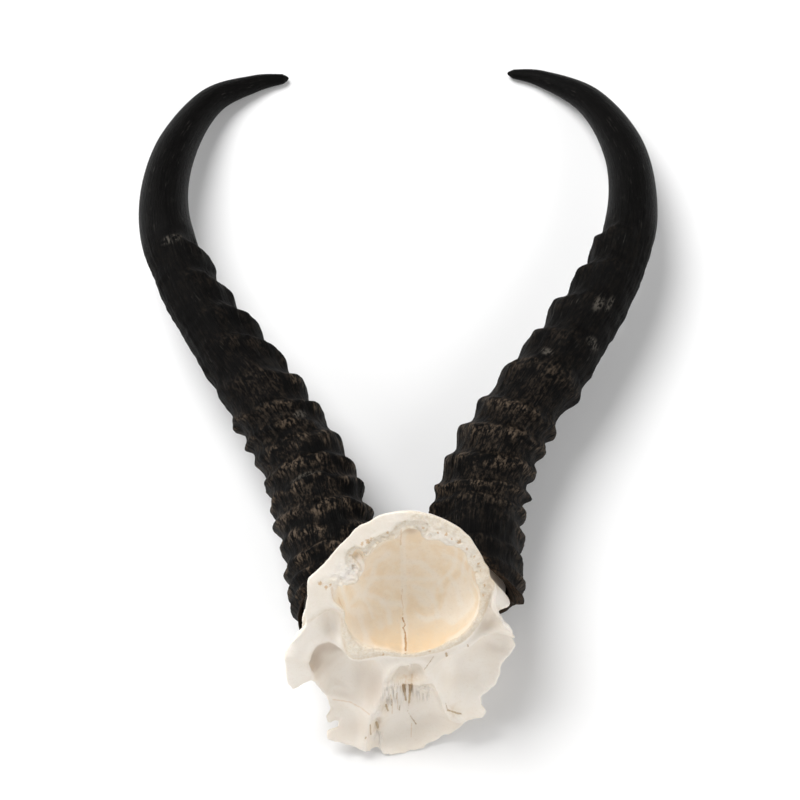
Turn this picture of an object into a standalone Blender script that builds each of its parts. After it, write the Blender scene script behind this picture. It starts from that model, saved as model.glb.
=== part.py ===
"""Skull plate of a springbok ram: the sawn-off top of the skull with both horn sheaths.

The piece is drawn in the skull's own frame and then laid down. In the skull frame X points to
the animal's right, Y to the back of its head, and the height h stands up from the sawn face, so
a point (x, y, h) in millimetres sits at (x, y, -h) in the file. The empty "skull_frame" turns
that frame over so the plate lies on its nose edge and the two horn tips.
"""
import math

import bmesh
import bpy
from mathutils import Vector

MM = 0.001

# How the plate lies on the ground: turned this far about X, on the nose edge and the horn tips.
LYING_TURN = math.radians(56.0)

# The horns' own sections are set square to the axis, deep side along this direction (x, y, h).
DEEP_SIDE = Vector((0.0, 0.574, -0.819))

# Voxel size and smoothing of the bone before the saw and the hollows are cut into it.
BONE_VOXEL = 1.9
BONE_SMOOTH_STEPS = 5
BONE_FACES_KEPT = 0.145

# Rounded masses of the bone: centre and half sizes (x, y, h).
BRAINCASE = ((0.5, -1, 0), (37, 39, 31))
FOREHEAD = ((0, -32, 0), (45, 42, 35.5))
NOSE_BRIDGE = ((0, -62, 0), (35, 36, 26.5))
LEFT_CHEEK = ((-24, -68, 2), (16, 23, 18))
RIGHT_CHEEK = ((23, -62, 2), (18, 22, 18))
LEFT_BROW = ((-35, -42, 1), (18, 24, 20))
RIGHT_BROW = ((34, -40, 1), (18, 25, 20))
LEFT_TEMPLE = ((-34, -2, 1), (10, 13, 9))
BONE_MASSES = (BRAINCASE, FOREHEAD, NOSE_BRIDGE, LEFT_CHEEK, RIGHT_CHEEK, LEFT_BROW, RIGHT_BROW,
               LEFT_TEMPLE)

# Hollows: centre and half sizes (x, y, h).
BRAIN_HOLLOW = ((3.5, 0.5, -1), (29, 31, 28.5))
LEFT_ORBIT = ((-27, -60, -1), (18.5, 34, 16))
RIGHT_ORBIT = ((32, -51, -1), (20, 31, 16))
NOSE_HOLLOW = ((6, -75, 3), (18, 25, 15))
LEFT_FOSSA = ((-30.5, -19.5, 3), (5.5, 8, 4))
RIGHT_FOSSA = ((34.5, -18.5, 3), (5, 7, 4))

# The saw leaves a flat face at h = 0 round the brain case. In front of this line (x, y) the
# skull's own underside lies UNDERSIDE_DEPTH above it, with the boss in the middle left standing.
UNDERSIDE_LINE = (
    (-75, -18), (-44, -14.5), (-36.6, -10.3), (-31.3, -7.5), (-27.5, -9), (-26, -13),
    (-25.5, -22.8), (-23.5, -31), (-20, -34), (-8.5, -33), (-7, -46), (9, -46), (10.5, -32.5),
    (17.4, -31), (26.4, -27), (29, -22.8), (33.2, -14.5), (36, -6), (39, 6), (75, 20),
)
UNDERSIDE_DEPTH = 4.6
UNDERSIDE_LEAN = 1.5
UNDERSIDE_FRONT = -60

# In front of BREAK_Y the bone steps up by BREAK_STEP and then breaks away at a slope.
BREAK_Y = -44.5
BREAK_STEP = 5.0
BREAK_SLOPE = 0.14

# The two narrow slots in the middle of the bridge: x of each, half widths and y of both ends.
LEFT_SLOT_X = -0.6
RIGHT_SLOT_X = 2.6
SLOT_REAR = (-47, 0.6)
SLOT_FRONT = (-57, 0.8)
SLOT_HEIGHTS = (-2, 10)

# Broken outline of the front half, as seen at right angles to OUTLINE_LEAN from the sawn face.
OUTLINE_LEAN = math.radians(35)
OUTLINE_LEFT = (
    (-75, -9), (-44, -11), (-47, -17), (-51, -23), (-51, -26), (-50, -37), (-48, -39),
    (-40, -35), (-34, -43), (-32, -49), (-34, -52), (-33, -54), (-28, -53), (-29, -57),
    (-34, -59), (-34, -62), (-29, -63), (-22, -66), (-16, -68), (-13, -66), (-10, -69),
)
OUTLINE_RIGHT = (
    (-6, -70), (7, -67), (20, -60), (27, -54), (33, -53), (35, -51), (32, -48), (33, -44),
    (39, -39), (41, -30), (45, -26), (48, -22), (47, -19), (44, -14), (41, -11), (75, -5),
)

# Horn axes (x, y, h) from inside the bone to the tip.
LEFT_AXIS = (
    (-25.5, -30, 20), (-28.5, -23, 38), (-35.5, -8, 75), (-45.5, 7, 104), (-63.5, 24, 130),
    (-83, 40, 154), (-99.5, 56, 180), (-107.5, 71, 209), (-103.5, 85, 241), (-88, 95, 273),
    (-67, 97.5, 287.5), (-50.5, 98, 292),
)
RIGHT_AXIS = (
    (27.5, -32, 20), (29, -25, 38), (33, -10, 75), (43.5, 5, 103), (62.5, 22, 129),
    (82, 37, 152), (99.5, 53, 178), (108.5, 68, 206), (107, 83, 238), (93, 93, 270),
    (71, 97.2, 287.6), (54, 98.4, 292.4),
)

# Half width and half depth of a sheath by distance along its axis, between crest and valley.
SHEATH_SIZE = (
    (0, 19.4, 25.5), (58, 19.2, 24.5), (95, 18.0, 22.0), (132, 17.0, 19.5), (168, 15.2, 16.8),
    (202, 13.4, 14.4), (236, 11.5, 12.2), (272, 9.6, 9.9), (306, 6.8, 7.0), (336, 3.7, 3.8),
    (349, 2.0, 2.1),
)

# Distance of each ridge along the axis, and how far its crest stands out at the side edges.
LEFT_RIDGES = (24, 33, 45, 58, 71, 84, 97, 110, 124, 136, 148, 166, 188, 208)
RIGHT_RIDGES = (25, 35, 49, 62, 75, 90, 103, 116, 129, 146, 162, 176, 198)
RIDGE_HEIGHT = 1.9
VALLEY_DEPTH = 1.2

# Lower rim of each sheath by distance along the axis: outer side, inner side.
LEFT_RIM = (7, 18)
RIGHT_RIM = (11, 19)
SHEATH_WALL = 2.6
SEAT_END = 34
SEAT_TAPER = 1.5
FIT_GAP = 0.3
HORN_SIDES = 18

# Bone cleared round a sheath: how far below its rim, and how far out at each distance.
CLEAR_BELOW = 0.5
CLEAR_ROUND = ((26, 2.6), (46, 3.0))
CLEAR_END = 48

# The skin's smooth part beyond the last ridge.
SMOOTH_START = 9
SMOOTH_ROWS = 13
TIP_LENGTH = 1.5


def put(x, y, h):
    """A point of the skull frame in metres."""
    return Vector((x, y, -h)) * MM


def clear_scene():
    for obj in list(bpy.data.objects):
        bpy.data.objects.remove(obj, do_unlink=True)


def plain_material(name, colour, roughness):
    material = bpy.data.materials.new(name)
    material.use_nodes = True
    shader = material.node_tree.nodes["Principled BSDF"]
    shader.inputs["Base Color"].default_value = (*colour, 1.0)
    shader.inputs["Roughness"].default_value = roughness
    return material


def bone_material():
    return plain_material("bone", (0.83, 0.76, 0.64), 0.7)


def left_sheath_material():
    return plain_material("left_sheath", (0.035, 0.032, 0.03), 0.5)


def right_sheath_material():
    return plain_material("right_sheath", (0.034, 0.032, 0.031), 0.5)


def object_from(name, bm, frame, material=None):
    bmesh.ops.recalc_face_normals(bm, faces=bm.faces)
    mesh = bpy.data.meshes.new(name)
    bm.to_mesh(mesh)
    bm.free()
    for face in mesh.polygons:
        face.use_smooth = True
    if material:
        mesh.materials.append(material)
    obj = bpy.data.objects.new(name, mesh)
    bpy.context.scene.collection.objects.link(obj)
    obj.parent = frame
    return obj


def cutter_from(name, bm, frame):
    cutter = object_from(name, bm, frame)
    cutter.hide_render = True
    cutter.display_type = "WIRE"
    return cutter


def add_mass(bm, centre, half_sizes, rings=12):
    """A rounded mass as a stretched ball."""
    made = bmesh.ops.create_uvsphere(bm, u_segments=2 * rings, v_segments=rings, radius=1.0)
    for vert in made["verts"]:
        x, y, z = vert.co
        vert.co = put(centre[0] + half_sizes[0] * x, centre[1] + half_sizes[1] * y,
                      centre[2] - half_sizes[2] * z)


def add_prism(bm, low, high):
    """Two matching loops of corners joined into a closed prism."""
    below = [bm.verts.new(co) for co in low]
    above = [bm.verts.new(co) for co in high]
    bm.faces.new(below)
    bm.faces.new(above)
    for i in range(len(below)):
        j = (i + 1) % len(below)
        bm.faces.new((below[i], below[j], above[j], above[i]))


class Axis:
    """A smooth line through the axis points, walked by distance."""

    STEPS = 24

    def __init__(self, points):
        ends = [Vector(p) for p in points]
        ends = [2 * ends[0] - ends[1]] + ends + [2 * ends[-1] - ends[-2]]
        self.line = []
        for a, b, c, d in zip(ends, ends[1:], ends[2:], ends[3:]):
            for step in range(self.STEPS):
                self.line.append(self.between(a, b, c, d, step / self.STEPS))
        self.line.append(ends[-2])
        self.walked = [0.0]
        for p, q in zip(self.line, self.line[1:]):
            self.walked.append(self.walked[-1] + (q - p).length)
        self.length = self.walked[-1]

    @staticmethod
    def between(a, b, c, d, t):
        out = (c - a) * 0.5
        into = (d - b) * 0.5
        return ((2 * t**3 - 3 * t**2 + 1) * b + (t**3 - 2 * t**2 + t) * out
                + (3 * t**2 - 2 * t**3) * c + (t**3 - t**2) * into)

    def at(self, distance):
        distance = min(max(distance, 0.0), self.length)
        i = 1
        while self.walked[i] < distance and i < len(self.line) - 1:
            i += 1
        part = (distance - self.walked[i - 1]) / (self.walked[i] - self.walked[i - 1])
        return self.line[i - 1].lerp(self.line[i], part)

    def section(self, distance):
        """Centre, sideways direction (to the animal's right) and deep direction there."""
        ahead = (self.at(distance + 1.5) - self.at(distance - 1.5)).normalized()
        side = DEEP_SIDE.cross(ahead).normalized()
        if side.x < 0:
            side = -side
        deep = ahead.cross(side).normalized()
        if deep.y < 0:
            deep = -deep
        return self.at(distance), side, deep


def sheath_size(distance):
    for (s0, w0, d0), (s1, w1, d1) in zip(SHEATH_SIZE, SHEATH_SIZE[1:]):
        if distance <= s1:
            part = max(distance - s0, 0) / (s1 - s0)
            return w0 + (w1 - w0) * part, d0 + (d1 - d0) * part
    return SHEATH_SIZE[-1][1:]


def sheath_point(axis, distance, angle, outward, swell):
    """A point of the sheath's skin. The angle runs from the outer side over the back."""
    centre, side, deep = axis.section(distance)
    width, depth = sheath_size(distance)
    p = (centre + side * (outward * math.cos(angle) * (width + swell))
         + deep * (math.sin(angle) * (depth + swell)))
    return put(*p)


def add_rows(bm, rows):
    """Rings of corners joined one to the next. Returns the rings of vertices."""
    rings = [[bm.verts.new(co) for co in row] for row in rows]
    for lower, upper in zip(rings, rings[1:]):
        for i in range(len(lower)):
            j = (i + 1) % len(lower)
            bm.faces.new((lower[i], lower[j], upper[j], upper[i]))
    return rings


def close_ring(bm, ring, co):
    """A ring closed to one point."""
    tip = bm.verts.new(co)
    for i in range(len(ring)):
        bm.faces.new((ring[i], ring[(i + 1) % len(ring)], tip))


def angles():
    return [2 * math.pi * i / HORN_SIDES for i in range(HORN_SIDES)]


def rim_distance(rim, angle):
    """Distance of the sheath's lower rim: lowest on the outer side."""
    outer, inner = rim
    return (outer + inner) / 2 + (outer - inner) / 2 * math.cos(angle)


def ridge_rows(ridges, k):
    """Rows over one ridge as (distance, swell) pairs for its outer and its inner side.

    On the outer side the ridge drops steeply towards the skull, on the inner side towards
    the tip, so its crest leans the other way on each side.
    """
    here = ridges[k]
    room = min(here - ridges[k - 1] if k else 9, 15)
    fade = 1.0 if k < len(ridges) - 2 else 0.55
    high = RIDGE_HEIGHT * fade * (0.75 if k < 2 else 1.0)
    low = -VALLEY_DEPTH * fade
    outer = ((-0.30, low), (-0.12, high), (0.10, high * 0.5), (0.38, low * 0.4))
    inner = ((-0.38, low * 0.5), (-0.08, high * 0.6), (0.14, high), (0.30, low))
    return [((here + a * room, b), (here + c * room, d)) for (a, b), (c, d) in zip(outer, inner)]


def ridge_strength(angle, distance):
    """Ridges stand out at both side edges and in front, and flatten on the back."""
    back = max(math.sin(angle), 0.0)
    fade_back = 0.35 + 0.3 * min(distance / 200, 1.0)
    return 1.0 - fade_back * back


def sheath_rows(axis, ridges, rim, outward):
    """All rows of a sheath's skin from the rim to the tip."""
    rows = []
    first = ridges[0] - 4
    rows.append([sheath_point(axis, rim_distance(rim, a), a, outward, -0.4) for a in angles()])
    for k in range(len(ridges)):
        for (s_out, f_out), (s_in, f_in) in ridge_rows(ridges, k):
            row = []
            for a in angles():
                inner = 0.5 - 0.5 * math.cos(a)
                s = s_out + (s_in - s_out) * inner
                swell = (f_out + (f_in - f_out) * inner) * ridge_strength(a, s)
                push = max(rim_distance(rim, a) - first, 0) * max(1 - (s - first) / 16, 0)
                row.append(sheath_point(axis, s + push, a, outward, swell))
            rows.append(row)
    smooth_from = ridges[-1] + SMOOTH_START
    end = axis.length - TIP_LENGTH
    for i in range(SMOOTH_ROWS + 1):
        s = smooth_from + (end - smooth_from) * i / SMOOTH_ROWS
        rows.append([sheath_point(axis, s, a, outward, 0.0) for a in angles()])
    return rows


def seat_rows(axis, rim, outward, inset, start):
    """Rows of the inner wall of a sheath, or of the bone stump when the inset is larger."""
    rows = []
    for part in (0.0, 0.5, 1.0):
        row = []
        for a in angles():
            s0 = rim_distance(rim, a) + start
            s = s0 + (SEAT_END - s0) * part
            row.append(sheath_point(axis, s, a, outward, -inset - SEAT_TAPER * part))
        rows.append(row)
    return rows


def horn(name, points, ridges, rim, outward, material, frame):
    """One horn sheath: ridged skin, closed tip, and a seat for the bone stump."""
    axis = Axis(points)
    bm = bmesh.new()
    skin = add_rows(bm, sheath_rows(axis, ridges, rim, outward))
    close_ring(bm, skin[-1], put(*axis.at(axis.length)))
    seat = add_rows(bm, seat_rows(axis, rim, outward, SHEATH_WALL, 0.0))
    close_ring(bm, seat[-1], put(*axis.at(SEAT_END + 1)))
    for i in range(HORN_SIDES):
        j = (i + 1) % HORN_SIDES
        bm.faces.new((skin[0][i], skin[0][j], seat[0][j], seat[0][i]))
    return object_from(name, bm, frame, material)


def stump_cutter(name, points, rim, outward, frame):
    """What a sheath and its fitting gap take away from the bone, leaving the stump inside."""
    axis = Axis(points)
    bm = bmesh.new()
    outside = [[sheath_point(axis, rim_distance(rim, a) - CLEAR_BELOW, a, outward, FIT_GAP)
                for a in angles()]]
    for distance, swell in CLEAR_ROUND:
        outside.append([sheath_point(axis, distance, a, outward, swell) for a in angles()])
    outer = add_rows(bm, outside)
    close_ring(bm, outer[-1], put(*axis.at(CLEAR_END)))
    inset = SHEATH_WALL + FIT_GAP
    inner = add_rows(bm, seat_rows(axis, rim, outward, inset, -CLEAR_BELOW))
    close_ring(bm, inner[-1], put(*axis.at(SEAT_END + 1 - 2 * FIT_GAP)))
    for i in range(HORN_SIDES):
        j = (i + 1) % HORN_SIDES
        bm.faces.new((outer[0][i], outer[0][j], inner[0][j], inner[0][i]))
    return cutter_from(name, bm, frame)


def saw_cutter(frame):
    """Everything below the sawn face, and below the slope in front of it."""
    bm = bmesh.new()
    wide = 90
    front = -120
    far = BREAK_STEP + (BREAK_Y - front) * BREAK_SLOPE
    side = [(80, 0), (BREAK_Y, 0), (BREAK_Y, BREAK_STEP), (front, far), (front, -60), (80, -60)]
    add_prism(bm, [put(-wide, y, h) for y, h in side], [put(wide, y, h) for y, h in side])
    return cutter_from("saw_cutter", bm, frame)


def underside_cutter(frame):
    """The skull's own underside in front of the sawn rim, with a leaning step up to it."""
    bm = bmesh.new()
    loop = UNDERSIDE_LINE + ((75, UNDERSIDE_FRONT), (-75, UNDERSIDE_FRONT))
    add_prism(bm, [put(x, y + UNDERSIDE_LEAN, -UNDERSIDE_DEPTH) for x, y in loop],
              [put(x, y - UNDERSIDE_LEAN, UNDERSIDE_DEPTH) for x, y in loop])
    return cutter_from("underside_cutter", bm, frame)


def outline_cutter(frame):
    """What is broken away outside the outline of the front half."""
    bm = bmesh.new()
    across = Vector((0, math.cos(OUTLINE_LEAN), -math.sin(OUTLINE_LEAN)))
    along = Vector((0, math.sin(OUTLINE_LEAN), math.cos(OUTLINE_LEAN)))
    loop = list(OUTLINE_LEFT) + list(OUTLINE_RIGHT) + [(75, -110), (-75, -110)]
    flat = [Vector((x, 0, 0)) + across * w for x, w in loop]
    add_prism(bm, [(p - along * 90) * MM for p in flat], [(p + along * 60) * MM for p in flat])
    return cutter_from("outline_cutter", bm, frame)


def hollow_cutter(name, hollow, rings, frame):
    bm = bmesh.new()
    add_mass(bm, *hollow, rings=rings)
    return cutter_from(name, bm, frame)


def slot_cutter(name, x, frame):
    """One of the two narrow slots in the middle of the bridge."""
    bm = bmesh.new()
    rear, rear_half = SLOT_REAR
    front, front_half = SLOT_FRONT
    corners = [(x - rear_half, rear), (x + rear_half, rear), (x + front_half, front),
               (x - front_half, front)]
    low, high = ([put(px, py, h) for px, py in corners] for h in SLOT_HEIGHTS)
    add_prism(bm, low, high)
    return cutter_from(name, bm, frame)


def bone_blank(frame, material):
    """The bone before cutting: rounded masses grown together, with two stumps for the horns."""
    bm = bmesh.new()
    for mass in BONE_MASSES:
        add_mass(bm, *mass)
    for points, outward in ((LEFT_AXIS, -1), (RIGHT_AXIS, 1)):
        axis = Axis(points)
        rows = [[sheath_point(axis, s, a, outward, grow) for a in angles()]
                for s, grow in ((2, -1.0), (SEAT_END + 6, -1.0))]
        rings = add_rows(bm, rows)
        for ring in (rings[0], rings[-1]):
            bm.faces.new(ring)
    bone = object_from("skull_plate", bm, frame, material)
    grow = bone.modifiers.new("grow_together", "REMESH")
    grow.mode = "VOXEL"
    grow.voxel_size = BONE_VOXEL * MM
    grow.use_smooth_shade = True
    ease = bone.modifiers.new("ease", "SMOOTH")
    ease.factor = 0.5
    ease.iterations = BONE_SMOOTH_STEPS
    thin = bone.modifiers.new("fewer_faces", "DECIMATE")
    thin.ratio = BONE_FACES_KEPT
    return bone


def cut(obj, cutter):
    modifier = obj.modifiers.new(cutter.name, "BOOLEAN")
    modifier.operation = "DIFFERENCE"
    modifier.solver = "EXACT"
    modifier.object = cutter


def lay_down(frame, pieces):
    """Turns the skull frame over and sets it on the ground, centred."""
    frame.rotation_euler = (LYING_TURN, 0, 0)
    bpy.context.view_layer.update()
    view = bpy.context.evaluated_depsgraph_get()
    corners = []
    for piece in pieces:
        made = piece.evaluated_get(view)
        mesh = made.to_mesh()
        corners += [made.matrix_world @ vert.co for vert in mesh.vertices]
        made.to_mesh_clear()
    middle = [(min(c[i] for c in corners) + max(c[i] for c in corners)) / 2 for i in (0, 1)]
    lowest = min(c.z for c in corners)
    frame.location = (-middle[0], -middle[1], -lowest)


def build():
    clear_scene()
    frame = bpy.data.objects.new("skull_frame", None)
    bpy.context.scene.collection.objects.link(frame)
    bone = bone_blank(frame, bone_material())
    cutters = [
        stump_cutter("left_stump_cutter", LEFT_AXIS, LEFT_RIM, -1, frame),
        stump_cutter("right_stump_cutter", RIGHT_AXIS, RIGHT_RIM, 1, frame),
        saw_cutter(frame),
        underside_cutter(frame),
        hollow_cutter("brain_cutter", BRAIN_HOLLOW, 12, frame),
        hollow_cutter("left_orbit_cutter", LEFT_ORBIT, 11, frame),
        hollow_cutter("right_orbit_cutter", RIGHT_ORBIT, 11, frame),
        hollow_cutter("nose_cutter", NOSE_HOLLOW, 10, frame),
        hollow_cutter("left_fossa_cutter", LEFT_FOSSA, 8, frame),
        hollow_cutter("right_fossa_cutter", RIGHT_FOSSA, 8, frame),
        slot_cutter("left_slot_cutter", LEFT_SLOT_X, frame),
        slot_cutter("right_slot_cutter", RIGHT_SLOT_X, frame),
        outline_cutter(frame),
    ]
    for cutter in cutters:
        cut(bone, cutter)
    left = horn("left_horn", LEFT_AXIS, LEFT_RIDGES, LEFT_RIM, -1, left_sheath_material(), frame)
    right = horn("right_horn", RIGHT_AXIS, RIGHT_RIDGES, RIGHT_RIM, 1,
                 right_sheath_material(), frame)
    lay_down(frame, (bone, left, right))


build()
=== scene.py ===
"""Looks of the springbok skull plate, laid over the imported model.

Shapes are worked out in the skull's own frame in millimetres: x to the animal's right, y to the
back of its head, h up from the sawn face. The bone's one surface comes in four pieces, the
front and rear of its underside and of its roof, and each horn's sheath is one piece.
"""
import math
from types import SimpleNamespace

import bpy
import numpy as np
from mathutils import Matrix, Vector


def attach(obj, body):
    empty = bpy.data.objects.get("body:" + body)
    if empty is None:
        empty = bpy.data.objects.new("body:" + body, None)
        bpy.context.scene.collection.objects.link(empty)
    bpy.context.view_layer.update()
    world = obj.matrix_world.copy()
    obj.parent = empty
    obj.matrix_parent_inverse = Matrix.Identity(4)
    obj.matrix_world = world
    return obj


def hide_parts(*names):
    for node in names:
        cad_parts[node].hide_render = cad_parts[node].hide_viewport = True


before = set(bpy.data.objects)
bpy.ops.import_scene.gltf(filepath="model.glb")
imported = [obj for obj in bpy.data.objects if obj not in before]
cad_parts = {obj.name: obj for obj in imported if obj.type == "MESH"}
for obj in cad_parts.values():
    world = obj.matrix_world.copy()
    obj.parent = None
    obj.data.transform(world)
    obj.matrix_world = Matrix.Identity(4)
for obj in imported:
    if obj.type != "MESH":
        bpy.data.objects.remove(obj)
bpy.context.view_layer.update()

# The skull frame in the row frame: turned about X, then moved to this place in millimetres.
LYING_TURN = math.radians(56)
SKULL_AT = (-0.672, -128.359, 84.523)
DEEP_SIDE = np.array((0, 0.574, -0.819))

# Bone masses and hollows: centre (x, y, h) and half sizes.
BRAINCASE = ((0.5, -1, 0), (37, 39, 31))
FOREHEAD = ((0, -32, 0), (45, 42, 35.5))
NOSE_BRIDGE = ((0, -62, 0), (35, 36, 26.5))
LEFT_CHEEK = ((-24, -68, 2), (16, 23, 18))
RIGHT_CHEEK = ((23, -62, 2), (18, 22, 18))
LEFT_BROW = ((-35, -42, 1), (18, 24, 20))
RIGHT_BROW = ((34, -40, 1), (18, 25, 20))
LEFT_TEMPLE = ((-34, -2, 1), (10, 13, 9))
SAWN_EDGE = ((0.5, -1, 0), (37.4, 42.3, 12))
BONE_MASSES = (BRAINCASE, SAWN_EDGE, FOREHEAD, NOSE_BRIDGE, LEFT_CHEEK, RIGHT_CHEEK, LEFT_BROW,
               RIGHT_BROW, LEFT_TEMPLE)
BRAIN_HOLLOW = ((3.5, 0.5, -1), (30.5, 32.5, 28.5))
LEFT_CORNER = ((-9, -9, 0), (16.5, 20, 22))
LEFT_RECESS = ((-23.5, -0.5, 3), (6.6, 6.5, 7))
TOP_NOTCH = ((3.8, 30, 3.5), (4, 4, 5))
SIDE_NOTCH = ((-18.4, 18.8, 2.5), (2, 2.8, 3.5))
SPONGE = ((-24, 12, 5), (8, 7.5, 6))
LEFT_UNDERCUT = ((-34.5, -35, 9), (9, 10.5, 6.8))
RIGHT_UNDERCUT = ((37, -32, 9.5), (12, 11.5, 6.5))
UNDERSIDE_DEPTH = 4.6
BREAK_Y = -44.5
BREAK_SLOPE = 0.14
THINNEST = 2.2
OUTLINE_GROW = 0.5
OUTLINE_LEAN = math.radians(35)
# The folds on the brain hollow's wall bend with noise of this size.
FOLD_BEND = 11.0
FOLD_SEED = 71
# The grid on which the bone's surface is worked out, and the y at which it is split in two.
BONE_CELL = 0.48
BONE_LOW = np.array((-54.0, -98.0, -3.0))
BONE_HIGH = np.array((52.0, 42.0, 58.0))
SPLIT_Y = -24

# The broken edge as the photo's view shows it: (x, height in that view).
OUTLINE = (
    (-75, -9), (-44, -11), (-47, -17), (-51, -23), (-51, -26), (-50, -37), (-48, -39),
    (-40, -35), (-34, -43), (-32, -49), (-34, -52), (-33, -54), (-28, -53), (-29, -57),
    (-34, -59), (-34, -62), (-29, -63), (-22, -66), (-16, -68), (-13, -66), (-10, -69),
    (-6, -70), (7, -67), (20, -60), (27, -54), (33, -53), (35, -51), (32, -48), (33, -44),
    (39, -39), (41, -30), (45, -26), (48, -22), (47, -19), (44.4, -14.6), (41.5, -11.6),
    (39.4, -8.4), (40.4, -6), (75, -3),
    (75, 90), (-75, 90),
)
# The edge of the dome and of the left temple's facet in the same view, near the sawn face.
DOME_EDGE = (
    (-75, -30), (-42.2, -12), (-41.4, -6), (-40.6, 0), (-40, 8.1), (-38.6, 9.8), (-33, 14),
    (-26.2, 21.4), (-18, 29.4), (-12.4, 31.8), (-7.4, 34.6), (0, 35.6), (6.8, 35.7), (12.5, 34.6),
    (19.6, 31.2), (24.6, 28), (28.4, 24), (31, 18.9), (33.6, 14.8), (35.6, 11), (37, 6.2),
    (41, 3), (75, 3), (75, -110), (-75, -110),
)
# The ragged edge of the open brain case on the sawn face: (x, y).
OPENING = (
    (-14.8, 19), (-12.7, 22.3), (-10.6, 24.9), (-7.2, 27.5), (-2.9, 27.6), (-1, 29.6), (0.9, 32.4),
    (2.8, 33.4), (5.5, 32.9), (7.2, 31.4), (7.7, 28.3), (10.6, 27.1), (15.3, 27.2), (17.8, 24.1),
    (19.9, 23.3), (22.9, 23.4), (25.7, 20.3), (26.7, 16.1), (29, 10.9), (31, 4.2), (32, -2),
    (31.6, -8.7), (30.1, -13.9), (28, -18), (23.8, -22.2), (18.2, -25.3), (13.2, -28.4),
    (8.1, -29.9), (4.7, -31), (0.9, -31.2), (-5.5, -29.4), (-8.9, -28.1), (-13.5, -28.1),
    (-18.6, -26.2), (-22.4, -22), (-24.1, -16.5), (-24.3, -10.8), (-23.9, -7.7), (-26.2, -5.6),
    (-28.6, -3.3), (-29.8, -0.2), (-29.2, 3.2), (-28.4, 5.8), (-26.9, 4), (-25.6, 2.4),
    (-24.1, 4.2), (-22, 6), (-19, 6.3), (-18.6, 8.9), (-19.3, 10.4), (-18, 12),
    (-18.6, 15.1), (-19.9, 16.1), (-19.9, 20.3), (-18.6, 21.3), (-16.7, 20), (-15.7, 19),
)
# Where the sawn rim ends and the natural underside begins: (x, y).
NATURAL = (
    (-75, -18), (-44, -14.5), (-40, -13.3), (-36.6, -10.3), (-31.3, -6.6), (-27.5, -8.2),
    (-26, -13), (-25.8, -22.8), (-24.5, -30.5), (-21, -33.6), (-14.1, -31.8), (-8.1, -31.2),
    (-3.6, -32.2), (3, -32.4), (9.9, -31.2), (17.4, -28.6), (24.4, -25.2), (28.4, -21),
    (32.6, -13), (34.8, -5.3), (36.5, 1), (38.5, 7), (75, 20), (75, -140), (-75, -140),
)
LEFT_ORBIT = (
    (-38.6, -62), (-39.3, -41.4), (-39.1, -33), (-36.3, -28.8), (-32.1, -27.4), (-28.4, -28.9),
    (-25.4, -33), (-22, -37), (-14, -35.7), (-9.5, -38), (-9, -46), (-11, -57), (-13, -68),
    (-14, -95), (-60, -95), (-60, -66),
)
RIGHT_ORBIT = (
    (49, -29), (44.1, -24.5), (39.2, -22.6), (33.2, -25.1), (28.2, -29.8), (18.9, -34.5),
    (13.7, -38.5), (11.4, -43), (13.3, -49), (15.5, -58.5), (17.1, -65.5), (19.7, -70.5),
    (24, -74), (40, -78), (60, -60), (60, -30),
)
NOSE_HOLLOW = (
    (-6, -49.6), (-3.2, -50.6), (0.2, -49.4), (3, -49.6), (6.4, -50.8), (10.5, -48.9),
    (13, -52), (15, -59), (17, -67), (20, -74), (28, -74), (32, -110), (-18, -110),
    (-17.3, -84), (-16.2, -78), (-15.6, -73), (-15.4, -68), (-12.8, -64.5), (-11.4, -60), (-8.6, -55),
)
SINUS_WALL = ((-8, -47), (-9.8, -54.5), (-13.5, -62.5), (-16.6, -68), (-17.2, -76), (-18.2, -88))
BAR_CREST = ((-41, -17), (-44.5, -24), (-47.5, -32))
RIGHT_CREST = ((38.5, -1), (42, -9), (46.5, -19))
RIGHT_ARCH = ((20, -32), (28, -27.5), (33, -23.5), (39, -21), (45, -22.5))
LEFT_ARCH = ((-41, -34), (-38, -27), (-32, -24.8), (-28, -26.5))
NOSE_ARCH = (
    (-6.6, -50.2), (-5.4, -45), (-3.6, -41.4), (-1.2, -39.2), (2, -38), (5.3, -38.4), (7.6, -41.4),
    (9.3, -46), (9.6, -50.2),
)
ARCH_BAND = ((-9, -47), (-7.4, -43), (-5.2, -39.4), (-2, -36.6), (2, -35.4), (7, -35.2), (10.5, -36.5))
ORBIT_FOLD = ((-36, -59), (-26, -64), (-17, -70))
NOSE_KEEL = ((0.8, -50), (1.2, -60), (2.5, -90))
# Soft forms of the underside over (x, y), deeper where above zero. Hills have their depth, centre,
# half sizes and, if any, turn, and ridges their depth, line and half width.
FOSSAE = ((3.6, -29.8, -17.5, 4.6, 8.5, 0.25), (3.2, 33.6, -17.5, 4.6, 6.5, -0.5))
BONE_RIDGES = ((-3.4, BAR_CREST, 5.5), (-1.5, LEFT_ARCH, 2.6), (-2.8, RIGHT_CREST, 3.6),
               (-1.6, RIGHT_ARCH, 2.4))
ARCH_RIDGES = ((-1.5, ARCH_BAND, 1.7),)
ARCH_KNOBS = ((-2.4, 1.4, -38.8, 2.4, 1.5), (-1.6, 2.2, -41.2, 0.9, 1.6), (0.9, 2.9, -44.5, 0.7, 3))
ARCH_SWELLS = ((-0.8, -3.6, -49, 2, 4), (-0.8, 6.4, -49, 2.4, 3.5))
LEFT_FLOOR = ((1.7, -19.4, -46, 3, 13), (-2.4, -12.8, -52, 3.6, 15))
RIGHT_FLOOR = ((1.2, 21, -46, 4, 10), (-1.6, 15.5, -50, 3.5, 10))
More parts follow.
